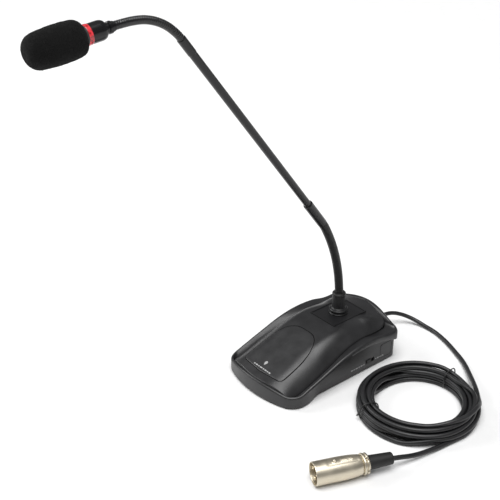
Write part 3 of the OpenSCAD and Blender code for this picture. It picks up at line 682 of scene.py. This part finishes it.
def add_cover(material):
    """The top cover: rings from the seam in to a spine along the middle, at the cover's height."""
    edge = seam_ring(SEAM_GAP)
    spine = np.column_stack((np.zeros(len(edge)), np.clip(edge[:, 1], -SPINE, SPINE)))
    edge_in = edge + (spine - edge) * 0.02
    top = cover_h(edge[:, 0], edge[:, 1])
    rings = [with_height(edge, top - 2.2), with_height(edge, top - 0.6),
             with_height(edge + (edge_in - edge) * 0.3, top - 0.2)]
    for share in np.concatenate((np.linspace(0.02, 0.5, 44), np.linspace(0.53, 1.0, 14))):
        plan = edge + (spine - edge) * share
        rings.append(with_height(plan, cover_h(plan[:, 0], plan[:, 1])))
    points, faces = loft(rings)
    cover = add_piece("top_cover_shell", points, faces, material, "base", ["top_cover"])
    merge_close(cover)
    return cover


def merge_close(piece, distance=0.00002):
    """Joins points that lie on each other, with all faces turned outwards."""
    mesh = bmesh.new()
    mesh.from_mesh(piece.data)
    bmesh.ops.remove_doubles(mesh, verts=mesh.verts, dist=distance)
    bmesh.ops.recalc_face_normals(mesh, faces=mesh.faces)
    mesh.to_mesh(piece.data)
    mesh.free()
    piece.data.shade_smooth()


def mark_sharp(piece, angle):
    """Hard shading across edges that bend by more than angle degrees."""
    mesh = bmesh.new()
    mesh.from_mesh(piece.data)
    for edge in mesh.edges:
        edge.smooth = len(edge.link_faces) != 2 or edge.calc_face_angle(0) < math.radians(angle)
    mesh.to_mesh(piece.data)
    mesh.free()


# ---- touch pad, marks and the wall's bead --------------------------------------------
pad_low, pad_high = box_mm("touch_pad")
PAD_FRONT, PAD_BACK, PAD_W = pad_low[1], pad_high[1], pad_high[0]


def pad_ring(grow):
    """Outline of the touch pad: straight front and sides, closing to an arch at the back."""
    knots = [(0, PAD_FRONT - grow), (PAD_W - 5, PAD_FRONT + 1.7 - grow),
             (PAD_W - 1.3, PAD_FRONT + 3.2 - grow * 0.7), (PAD_W + grow, PAD_FRONT + 6.5),
             (PAD_W - 0.1 + grow, -40), (PAD_W - 1.0 + grow, -30),
             (PAD_W - 3.4 + grow * 0.9, -20), (PAD_W - 7.8 + grow * 0.7, PAD_BACK - 6 + grow * 0.6),
             (PAD_W - 13.5 + grow * 0.3, PAD_BACK - 1.4 + grow), (PAD_W - 19, PAD_BACK - 0.1 + grow),
             (0, PAD_BACK + grow)]
    half = smooth_line([np.array((*k, 0.0)) for k in knots], 0.9, 112)[0][:, :2]
    return np.vstack((half, (half * (-1, 1))[1:-1][::-1]))


def smooth_line(knots, step, count=None):
    """Points about step millimetres apart on a smooth curve through the knots, and how far along each is."""
    knots = [2 * knots[0] - knots[1]] + list(knots) + [2 * knots[-1] - knots[-2]]
    dense = []
    for a, b, c, d in zip(knots, knots[1:], knots[2:], knots[3:]):
        for t in np.linspace(0, 1, 40, endpoint=False):
            dense.append(0.5 * (2 * b + (c - a) * t + (2 * a - 5 * b + 4 * c - d) * t * t
                                + (3 * b - a - 3 * c + d) * t ** 3))
    dense = np.array(dense + [knots[-2]])
    along = np.concatenate(([0], np.cumsum(np.linalg.norm(np.diff(dense, axis=0), axis=1))))
    marks = np.linspace(0, along[-1], count or max(2, int(round(along[-1] / step)) + 1))
    return np.column_stack([np.interp(marks, along, dense[:, i]) for i in range(dense.shape[1])]), marks


def over_cover(outline, lift):
    """A plan outline as points that follow the cover, lift higher."""
    return with_height(outline, cover_h(outline[:, 0], outline[:, 1]) + lift)


def add_pad(material, groove_shade_material):
    """The touch pad with its rounded edge, ringed by a near-black band laid over the cover as painted shade for its
    narrow groove.
    """
    edge = pad_ring(0)
    middle = np.column_stack((np.zeros(len(edge)), np.clip(edge[:, 1], PAD_FRONT + 10, PAD_BACK - 14)))
    rings = [over_cover(edge, -0.3), over_cover(edge, 0.0)]
    for inset, lift in ((0.1, 0.1), (0.35, 0.18), (0.8, 0.2)):
        rings.append(over_cover(pad_ring(-inset), lift))
    inner = pad_ring(-0.8)
    for share in np.linspace(0.1, 1, 14):
        rings.append(over_cover(inner + (middle - inner) * share, 0.2))
    points, faces = loft(rings)
    merge_close(add_piece("touch_pad_skin", points, faces, material, "base", ["touch_pad"]))
    # The groove is not cut: a near-black band just over the cover is painted shade for it.
    points, faces = loft([over_cover(pad_ring(grow), lift)
                          for grow, lift in ((0.75, -0.05), (0.6, 0.05), (0.3, 0.05), (-0.05, 0.03))])
    add_piece("touch_pad_groove_shade", points, faces, groove_shade_material, "base")


def add_flat_mark(name, shapes, lift, material):
    """Printed marks: closed plan shapes laid over the pad."""
    points, faces = [], []
    for shape in shapes:
        first = len(points)
        outline = np.array(shape, float)
        points += list(over_cover(outline, lift))
        faces.append(tuple(range(first, first + len(outline))))
    add_piece(name, points, faces, material, "base", smooth=False)


def bars(start, widths, gap):
    """Starts and ends of a row of dashes."""
    row, at = [], start
    for width in widths:
        row.append((at, at + width))
        at += width + gap
    return row


def add_marks(material):
    """A drop-shaped pointer and two rows of dashes: plain stand-ins for a legend."""
    x, y = -1.7, PAD_FRONT + 8.5
    drop = [(x, y - 2.6), (x + 1.0, y - 1.0), (x + 1.5, y + 0.4), (x + 1.1, y + 1.5), (x, y + 2.1),
            (x - 1.1, y + 1.5), (x - 1.5, y + 0.4), (x - 1.0, y - 1.0)]
    dashes = [[(a, y - 6.2), (b, y - 6.2), (b, y - 5.1), (a, y - 5.1)]
              for a, b in bars(-11.0, (1.6, 2.6, 1.3, 2.9, 1.6, 2.4, 1.5, 2.2), 0.8)]
    add_flat_mark("pad_mark", [drop] + dashes, 0.24, material)
    at, low, high = WALL_W + 0.04, 6.9, 8.2
    points, faces = [], []
    for a, b in (bars(SLOT_Y[0] - 19.0, (2.4, 1.5, 2.8, 1.8, 2.6, 1.5), 0.9)
                 + bars(SLOT_Y[1] + 1.6, (1.4, 2.2, 2.8, 1.6), 0.9)):
        first = len(points)
        points += [(at, a, low), (at, b, low), (at, b, high), (at, a, high)]
        faces.append((first, first + 1, first + 2, first + 3))
    add_piece("switch_marks", points, faces, material, "base", smooth=False)


def add_wall_bead(material):
    """A shallow moulded bead near the back of the right wall."""
    front, back, low, high, corner_r = BACK - 22.0, BACK - 7.5, 5.0, 19.5, 2
    middles = [(back - corner_r, high - corner_r), (front + corner_r, high - corner_r),
               (front + corner_r, low + corner_r), (back - corner_r, low + corner_r)]
    path = []
    for quarter, (y, z) in enumerate(middles):
        for t in np.radians(np.linspace(90 * quarter, 90 * quarter + 90, 5)):
            path.append((WALL_W - 0.05, y + corner_r * math.cos(t), z + corner_r * math.sin(t)))
    curve_piece("wall_bead", path, 0.3, material, closed=True)


# ---- the flexible neck -----------------------------------------------------------------
def section(prefix):
    """Hinge points in millimetres and body pairs of one flexible section, in order."""
    joints = [j for j in frame["joints"] if j["name"].startswith(prefix)]
    return [np.array(j["pos_m"]) / MM for j in joints], [(j["parent"], j["child"]) for j in joints]


def leaning(degrees):
    """Direction that leans forwards from upright."""
    return np.array((0, -math.sin(math.radians(degrees)), math.cos(math.radians(degrees))))


def add_neck_section(prefix, first, last, radius, pitch, depth, material, replaced):
    """One ribbed skin per hinge. Each runs from the middle of one link to the middle of the next."""
    hinges, pairs = section(prefix)
    line, marks = smooth_line([first] + hinges + [last], pitch / 6)
    sides, ups = frame_along(line)
    nearest = [int(np.argmin(np.linalg.norm(line - h, axis=1))) for h in hinges]
    bounds = [0] + [(a + b) // 2 for a, b in zip(nearest, nearest[1:])] + [len(line) - 1]
    angles = around(28)
    for k, (parent, child) in enumerate(pairs):
        a, b = bounds[k], bounds[k + 1]
        rings = []
        for i in range(a, b + 1):
            phase = 2 * math.pi * (marks[i] / pitch) + angles
            r = radius - depth * (1 - np.abs(np.cos(phase / 2)))
            rings.append(line[i] + np.cos(angles)[:, None] * sides[i] * r[:, None]
                         + np.sin(angles)[:, None] * ups[i] * r[:, None])
        points, faces = loft(rings)
        piece = add_piece(f"{prefix}skin_{k + 1}", points, faces, material, None, replaced[k])
        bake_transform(piece)


def add_neck(lower_skin, upper_skin):
    """The skins of both flexible sections, which stand for the neck's root and links."""
    ring_low, ring_high = box_mm("socket_ring")
    foot = np.array((0, (ring_low[1] + ring_high[1]) / 2, ring_low[2] - 0.5))
    hinges = section("lower_")[0]
    links = [(f"lower_link_{number}",) for number in range(1, 6)]
    add_neck_section("lower_", foot, hinges[-1] + 7.6 * leaning(33.2), 3.95, 1.5, 0.16, lower_skin,
                     [("neck_root", *links[0]), *links[1:], ()])
    hinges = section("upper_")[0]
    links = [(f"upper_link_{number}",) for number in range(1, 6)]
    add_neck_section("upper_", hinges[0] - 5.3 * leaning(40.4), hinges[-1] + 5.2 * leaning(95.8), 3.05, 1.7,
                     0.5, upper_skin, [*links, ()])


# ---- the windscreen --------------------------------------------------------------------
def add_foam(material):
    """The foam windscreen: a turned body with a lumpy open-celled skin."""
    joint = next(j for j in frame["joints"] if j["child"] == "windscreen")
    axis = np.array(joint["axis"])
    collar_low, collar_high = box_mm("head_collar")
    rear = (collar_low + collar_high) / 2 + axis * 1.6
    up = np.cross(axis, (1, 0, 0))
    length, nose_length, nose_flat = 39.8, 10, 0.28

    def bulging(z):
        return 12.7 - 0.004 * (z - 16) ** 2
    nose = bulging(length - nose_length)
    profile = [(6.3, 5.0), (6.35, 0.6), (6.7, 0.1), (7.6, -0.1)]
    profile += [(8.3 + (bulging(6.2) - 8.3) * math.sin(t), 6.2 - 6.3 * math.cos(t))
                for t in np.linspace(0.05, math.pi / 2, 16)]
    profile += [(bulging(z), z) for z in np.arange(6.7, 30.4, 0.5)]
    profile += [(nose * (nose_flat + (1 - nose_flat) * math.cos(t)),
                 length - nose_length + nose_length * math.sin(t)) for t in np.linspace(0, math.pi / 2, 34)]
    profile += [(nose * nose_flat * s, length + 0.12 * (1 - s * s)) for s in (0.85, 0.65, 0.45, 0.25, 0.08)]
    rings = []
    for r, z in profile:
        ring = []
        for a in around(150):
            out = np.array((1.0, 0, 0)) * math.cos(a) + up * math.sin(a)
            at = rear + axis * z + out * r
            cell = mu_noise.voronoi(Vector(at) / 1.15)[0]
            lump = mu_noise.noise(Vector(at) / 3.2)
            ring.append(at + out * (0.16 * lump - 0.26 * (0.7 - min(0.7, cell[1] - cell[0])) * min(1, r / 3)))
        rings.append(ring)
    points, faces = loft(rings, close_last=True)
    foam = add_piece("foam_windscreen", points, faces, material, "windscreen", ["windscreen"])


# ---- plug and grommet ------------------------------------------------------------------
def add_turned(name, profile, place, material, replaced, steps, shape=None, sharp=35):
    """A turned piece of the base's body from a profile of (r, z); shape(angle, z, r) may change its radius."""
    rings = []
    for r, z in profile:
        ring = []
        for a in around(steps):
            radius = r + (shape(a, z, r) if shape else 0)
            ring.append(place(radius * math.cos(a), radius * math.sin(a), z))
        rings.append(ring)
    points, faces = loft(rings)
    piece = add_piece(name, points, faces, material, "base", [replaced])
    merge_close(piece, 0.000005)
    mark_sharp(piece, sharp)
    return piece


def barrel_relief(angle, z, r):
    """Recess on top of the plug's shell with a dimple and a patch of diagonal grips."""
    if r < 7.0:
        return 0.0
    off = (math.degrees(angle) - 85 + 180) % 360 - 180
    inside = smoothstep((26 - abs(off)) / 8) * smoothstep((z - 9) / 3) * smoothstep((37.5 - z) / 3)
    depth = -0.22 * inside
    grip = smoothstep((13 - abs(off)) / 2) * smoothstep((z - 21.5) / 0.6) * smoothstep((32 - z) / 0.6)
    across = off / 57.3 * 9
    depth += 0.35 * grip * math.sin((z + across) * 1.9) ** 2
    away = math.hypot(z - 16.4, across)
    depth -= 0.9 * float(np.clip(1 - (away / 1.15) ** 2, 0, 1)) - 0.25 * math.exp(-((away - 1.5) / 0.35) ** 2)
    return float(depth)


def add_plug(nickel):
    """The plug's shell and the notched collar behind it."""
    profile = [(8.55, 12.5), (8.6, 0.9), (8.75, 0.15), (9.0, 0.0), (9.3, 0.05), (9.48, 0.3), (9.5, 0.7)]
    profile += [(9.5, z) for z in np.arange(1.2, 17.9, 0.4)]
    profile += [(7.2 + 2.3 * math.cos(t), 18 + 21.5 * math.sin(t)) for t in np.linspace(0, math.pi / 2, 60)]
    profile += [(6.9, 39.45), (6.2, COLLAR_AT)]
    barrel = add_turned("plug_shell", profile, plug_place, nickel, "plug_barrel", 216,
                        barrel_relief, 40)

    def notches(angle, z, r):
        wave = max(0.0, math.cos(angle * 5 + 0.5)) ** 4
        return -1.4 * wave if r > 7 and z > 41.8 else 0.0
    ring = [(6.1, 39.6), (7.0, 39.5), (8.1, 39.6), (8.6, 40.0), (8.75, 40.7), (8.6, 41.3), (7.8, 41.7), (7.8, 42.2),
            (8.4, 42.5), (8.6, 43.1), (8.5, 43.9), (7.9, 44.5), (6.9, 44.7), (6.1, 44.6)]
    fine = []
    for (r0, z0), (r1, z1) in zip(ring, ring[1:]):
        fine += [(r0 + (r1 - r0) * t, z0 + (z1 - z0) * t) for t in (0, 0.33, 0.67)]
    collar = add_turned("plug_collar", fine + [ring[-1]], plug_place, nickel, "plug_ring", 144,
                        notches, 60)
    return barrel, collar


def add_boot(rubber):
    """The tapered rubber boot between the collar and the lead."""
    def place(x, y, z):
        return plug_place(x, y, COLLAR_AT + z)
    profile = [(5.2, 4.2), (5.95, 4.3), (6.0, 5.0), (5.9, 6.0)]
    profile += [(5.85 - 0.85 * t, 6.5 + 18.1 * t) for t in np.linspace(0, 1, 14)]
    profile += [(4.95, 25.1), (4.8, 25.6), (4.45, 25.95), (3.6, 26.0), (2.5, 25.95), (2.05, 25.5), (2.03, 24.0)]
    return add_turned("plug_sleeve", profile, place, rubber, "plug_boot", 64)


def add_grommet(rubber):
    """The tapered strain relief where the lead leaves the base, with a flange and relief grooves."""
    low, high = box_mm("cable_grommet")
    centre = (low + high) / 2

    def place(x, y, z):
        return np.array((centre[0] + x, BACK_WALL + z, centre[2] + y))
    profile = [(4.0, -2.0), (4.0, 0.0), (5.2, 0.05), (5.35, 0.5), (5.3, 1.5), (5.0, 2.1), (4.4, 2.4)]
    end = high[1] - BACK_WALL
    z = 2.6
    while z < end - 3.2:
        r = 4.25 - 1.45 * z / end
        profile += [(r, z), (r, z + 1.1), (r - 0.1, z + 1.25), (r - 0.6, z + 1.3), (r - 0.6, z + 1.85),
                    (r - 0.1, z + 1.9)]
        z += 2.0
    profile += [(3.0, z), (2.9, end - 0.4), (2.7, end - 0.05), (2.3, end), (2.03, end - 0.1), (2.02, end - 1.5)]
    add_turned("lead_grommet", profile, place, rubber, "cable_grommet", 56)


def soften_edges(node, width):
    """Rounds the hard edges of a carried-over CAD node with a bevel."""
    modifier = frame["nodes"][node].modifiers.new("rounded edges", "BEVEL")
    modifier.width = width * MM
    modifier.segments = 3
    modifier.limit_method = "ANGLE"
    modifier.angle_limit = math.radians(35)


# ---- special materials -----------------------------------------------------------------
def brushed_metal(name, colour, rough, stretch, scale=900, grain=0.08, depth=0.000004):
    """Bare metal; stretch packs its grain closer along an axis."""
    return soft_material(name, colour, rough, 1.0, grain, scale, depth, 90, stretch)


def foam_material():
    """Open-celled foam: matte struts, with the pores between them painted darker as painted shade in the hollows.
    """
    material, tree, shader = new_material("foam_black")
    place = tree.nodes.new("ShaderNodeTexCoord")
    cells = tree.nodes.new("ShaderNodeTexVoronoi")
    cells.feature = "DISTANCE_TO_EDGE"
    cells.inputs["Scale"].default_value = 1300
    tree.links.new(place.outputs["Object"], cells.inputs["Vector"])
    # Cell middles are darker than the struts: painted shade in the pores.
    colour = ramp(tree, cells, (0.010, 0.010, 0.010), (0.002, 0.002, 0.002), 0.02, 0.25)
    tree.links.new(colour.outputs["Color"], shader.inputs["Base Color"])
    shader.inputs["Roughness"].default_value = 1.0
    shader.inputs["Specular IOR Level"].default_value = 0.12
    shader.inputs["Sheen Weight"].default_value = 0.03
    shader.inputs["Sheen Roughness"].default_value = 0.6
    invert = spread_value(tree, cells, 0.0, -0.5)
    invert.inputs["From Min"].default_value = 0.0
    invert.inputs["From Max"].default_value = 0.3
    add_bump(tree, shader, invert, 0.0003)
    add_bump(tree, shader, noise(tree, 450, 3, 0.6), 0.0003, 0.6)
    return material


def lens_material():
    """Moulded red lens: uneven depth of colour with dark red spots, a faint glow of its own, and brighter pink
    patches in colour and glow that are painted highlights.
    """
    material, tree, shader = new_material("red_lens")
    spots_and_highlights = noise(tree, 380, 2, 0.5)
    # The bright end of these ramps paints highlights into the colour and the glow.
    colour = ramp(tree, spots_and_highlights, (0.16, 0.002, 0.004), (0.75, 0.035, 0.05), 0.34, 0.56)
    tree.links.new(colour.outputs["Color"], shader.inputs["Base Color"])
    glow_and_painted_highlight = ramp(tree, spots_and_highlights, (0.05, 0.0, 0.0), (0.55, 0.05, 0.06), 0.36, 0.66)
    tree.links.new(glow_and_painted_highlight.outputs["Color"], shader.inputs["Emission Color"])
    shader.inputs["Emission Strength"].default_value = 0.35
    shader.inputs["Roughness"].default_value = 0.16
    shader.inputs["Subsurface Weight"].default_value = 0.25
    shader.inputs["Subsurface Radius"].default_value = (0.002, 0.0003, 0.0003)
    shader.inputs["Coat Weight"].default_value = 0.6
    shader.inputs["Coat Roughness"].default_value = 0.08
    add_bump(tree, shader, noise(tree, 900, 2, 0.5), 0.00002)
    return material


def board_material():
    """Green solder mask over a faint pattern of tracks."""
    material, tree, shader = new_material("circuit_board")
    place = tree.nodes.new("ShaderNodeTexCoord")
    tracks = tree.nodes.new("ShaderNodeTexBrick")
    tracks.inputs["Scale"].default_value = 260
    tracks.inputs["Mortar Size"].default_value = 0.03
    tracks.inputs["Color1"].default_value = (0.012, 0.11, 0.035, 1)
    tracks.inputs["Color2"].default_value = (0.016, 0.13, 0.045, 1)
    tracks.inputs["Mortar"].default_value = (0.05, 0.22, 0.09, 1)
    tree.links.new(place.outputs["Object"], tracks.inputs["Vector"])
    tree.links.new(tracks.outputs["Color"], shader.inputs["Base Color"])
    drift = spread_value(tree, noise(tree, 300), 0.35, 0.06)
    tree.links.new(drift.outputs["Result"], shader.inputs["Roughness"])
    return material


def slot_materials():
    """A material for every material slot in the record."""
    return {
        "case_plastic": soft_material("case_plastic", (0.015, 0.015, 0.016), 0.38, grain=0.18, grain_scale=2600,
                                      depth=0.000025, shade_scale=70, specular=0.55),
        "pad_plastic": soft_material("pad_plastic", (0.014, 0.014, 0.015), 0.4, grain=0.16, grain_scale=3200,
                                     depth=0.000015, shade_scale=90, specular=0.65),
        "plate_metal": soft_material("plate_black", (0.010, 0.010, 0.011), 0.42, grain=0.2, grain_scale=1500,
                                     depth=0.00002, specular=0.4),
        "cover_plastic": soft_material("cover_plastic", (0.02, 0.02, 0.02), 0.6, grain_scale=1400, depth=0.00004),
        "soft_rubber": soft_material("soft_rubber", (0.012, 0.012, 0.012), 0.5, grain=0.25, grain_scale=1800,
                                     specular=0.4),
        "steel_weight": brushed_metal("weight_steel", (0.32, 0.32, 0.33), 0.5, (1, 8, 1), 500, 0.15, 0.00001),
        "steel_parts": brushed_metal("zinc_steel", (0.62, 0.62, 0.63), 0.3, (1, 1, 6), 1200),
        "circuit_board": board_material(),
        "electronics": soft_material("electronics", (0.03, 0.03, 0.035), 0.45, grain_scale=1200),
        "nylon": soft_material("nylon_cream", (0.55, 0.53, 0.47), 0.45, grain=0.05, grain_scale=1200),
        "light_guide": soft_material("light_guide", (0.7, 0.7, 0.7), 0.3, grain=0.06, grain_scale=1000),
        "flex_metal": soft_material("flex_black", (0.012, 0.012, 0.012), 0.45, grain_scale=1500),
        "shaft_metal": soft_material("shaft_black", (0.006, 0.006, 0.007), 0.26, grain_scale=2400,
                                     depth=0.00001, stretch=(1, 1, 0.35), specular=0.45),
        "red_lens": lens_material(),
        "collar_metal": soft_material("collar_grey", (0.035, 0.045, 0.043), 0.4, grain=0.12, grain_scale=2000,
                                      depth=0.00001, specular=0.4),
        "capsule_brass": brushed_metal("capsule_brass", (0.6, 0.5, 0.28), 0.35, (1, 1, 1), 1500),
        "foam": foam_material(),
        "cord_jacket": soft_material("jacket_black", (0.014, 0.014, 0.014), 0.4, grain_scale=1800),
        "tie_plastic": soft_material("tie_black", (0.01, 0.01, 0.01), 0.4, grain_scale=900),
        "nickel": brushed_metal("champagne_nickel", (0.67, 0.61, 0.49), 0.40, (1, 1, 1), 700, 0.05),
        "contact_metal": brushed_metal("contact_gold", (0.85, 0.72, 0.5), 0.2, (1, 1, 1), 1500),
    }


# ---- everything, in order ----------------------------------------------------------------
add_camera()
add_studio()
finishes = slot_materials()
add_lead(finishes)
for row in frame["record"]["subparts"]:
    paint(row["node"], finishes[row["material_slot"]])
add_case(finishes["case_plastic"])
add_cover(finishes["case_plastic"])
# The groove's material is near black and matte: painted shade.
add_pad(finishes["pad_plastic"],
        soft_material("groove_painted_shade", (0.003, 0.003, 0.003), 0.8, grain_scale=1500, specular=0.1))
add_marks(soft_material("print_grey", (0.4, 0.4, 0.4), 0.6, grain=0.1, grain_scale=2200, specular=0.2))
add_wall_bead(finishes["case_plastic"])
add_neck(soft_material("lower_skin", (0.006, 0.006, 0.006), 0.42, grain=0.25, grain_scale=1600, depth=0.00004,
                       specular=0.35),
         soft_material("upper_skin", (0.009, 0.009, 0.010), 0.26, grain=0.3, grain_scale=1400, specular=0.6))
add_foam(finishes["foam"])
add_grommet(finishes["soft_rubber"])
for cad_node, width in (("neck_plate", 0.18), ("neck_socket", 0.2), ("lower_ferrule", 0.12),
                        ("upper_sleeve", 0.12), ("upper_ferrule", 0.12), ("head_housing", 0.12),
                        ("light_ring", 0.1), ("switch_knob", 0.25)):
    soften_edges(cad_node, width)
